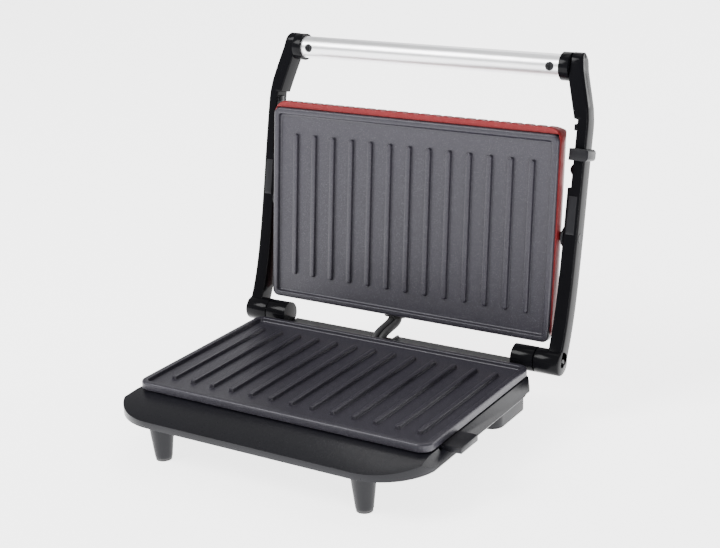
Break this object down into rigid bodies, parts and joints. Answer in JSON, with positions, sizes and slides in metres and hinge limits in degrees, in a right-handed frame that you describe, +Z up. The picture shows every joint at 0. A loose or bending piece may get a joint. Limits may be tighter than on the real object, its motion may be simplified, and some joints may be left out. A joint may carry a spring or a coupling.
{
  "type": "panini press",
  "caption": "Open contact grill for sandwiches: lower plate in a base on feet, ribbed upper plate in a fluted housing that floats between two hinged arms with a bar handle.",
  "frame": {"origin": "on the table, in the press's middle plane, under the middle of the open press", "axes": "+X to the side with the latch, +Y from the handle side of the base to the hinge, +Z up"},
  "size_m": [0.2632, 0.2548, 0.2439],
  "materials": {
    "base_black": "satin moulded black",
    "matt_black": "matt moulded black",
    "trim_black": "fine matt black",
    "gloss_black": "glossy black",
    "nonstick": "charcoal non-stick coating with a fine sparkle",
    "metallic_red": "metallic red paint",
    "satin_aluminium": "satin",
    "steel": "zinc plated",
    "heater_steel": "heat-stained",
    "reflector_sheet": "bright rolled sheet",
    "ceramic": "ceramic",
    "fuse": "drawn",
    "wire_red": "sleeved",
    "rubber_black": "matt",
    "lens_red": "clear coloured",
    "lens_green": "clear coloured"
  },
  "bodies": {
    "base": {"base_shell": "base_black", "base_bottom": "matt_black", "lower_plate": "nonstick", "lower_element": "heater_steel", "lower_reflector": "reflector_sheet", "lower_plate_clips": "steel", "thermostat": "ceramic", "base_thermal_fuse": "fuse", "terminal_block": "ceramic", "base_wires": "wire_red", "front_foot_left": "matt_black", "front_foot_right": "matt_black", "rear_foot_left": "matt_black", "rear_foot_right": "matt_black", "foot_pads": "rubber_black", "bottom_screws": "steel", "catch_tab": "trim_black", "hinge_bracket_left": "gloss_black", "hinge_bracket_right": "gloss_black", "hinge_pin_left": "steel", "hinge_pin_right": "steel", "cord_inlet_bush": "rubber_black", "base_cable_gland": "rubber_black", "link_cable": "rubber_black"},
    "arms": {"arm_left": "gloss_black", "arm_right": "gloss_black", "arm_cover_left": "trim_black", "arm_cover_right": "trim_black", "handle_socket_left": "gloss_black", "handle_socket_right": "gloss_black", "handle_tube": "satin_aluminium", "handle_screws": "trim_black", "pivot_pin_left": "matt_black", "pivot_pin_right": "matt_black", "pivot_washers": "trim_black"},
    "latch": {"latch_slider": "trim_black"},
    "lid": {"upper_housing": "metallic_red", "upper_frame": "trim_black", "upper_plate": "nonstick", "upper_element": "heater_steel", "upper_reflector": "reflector_sheet", "upper_plate_clips": "steel", "upper_thermal_fuse": "fuse", "housing_screws": "steel", "lid_cable_gland": "rubber_black", "power_lens": "lens_red", "ready_lens": "lens_green"}
  },
  "joints": [
    {"name": "arms_hinge", "type": "hinge", "parent": "base", "child": "arms", "pos_m": [0, 0.0624, 0.0412], "axis": [1, 0, 0], "range_deg": [0, 96.1], "deforming": ["link_cable"]},
    {"name": "lid_float", "type": "hinge", "parent": "arms", "child": "lid", "pos_m": [0, 0.08972, 0.12276], "axis": [1, 0, 0], "range_deg": [-1.5, 3.5]},
    {"name": "latch_slide", "type": "slide", "parent": "arms", "child": "latch", "axis": [0, 0.2149, 0.9766], "range_m": [0, 0.011]}
  ]
}
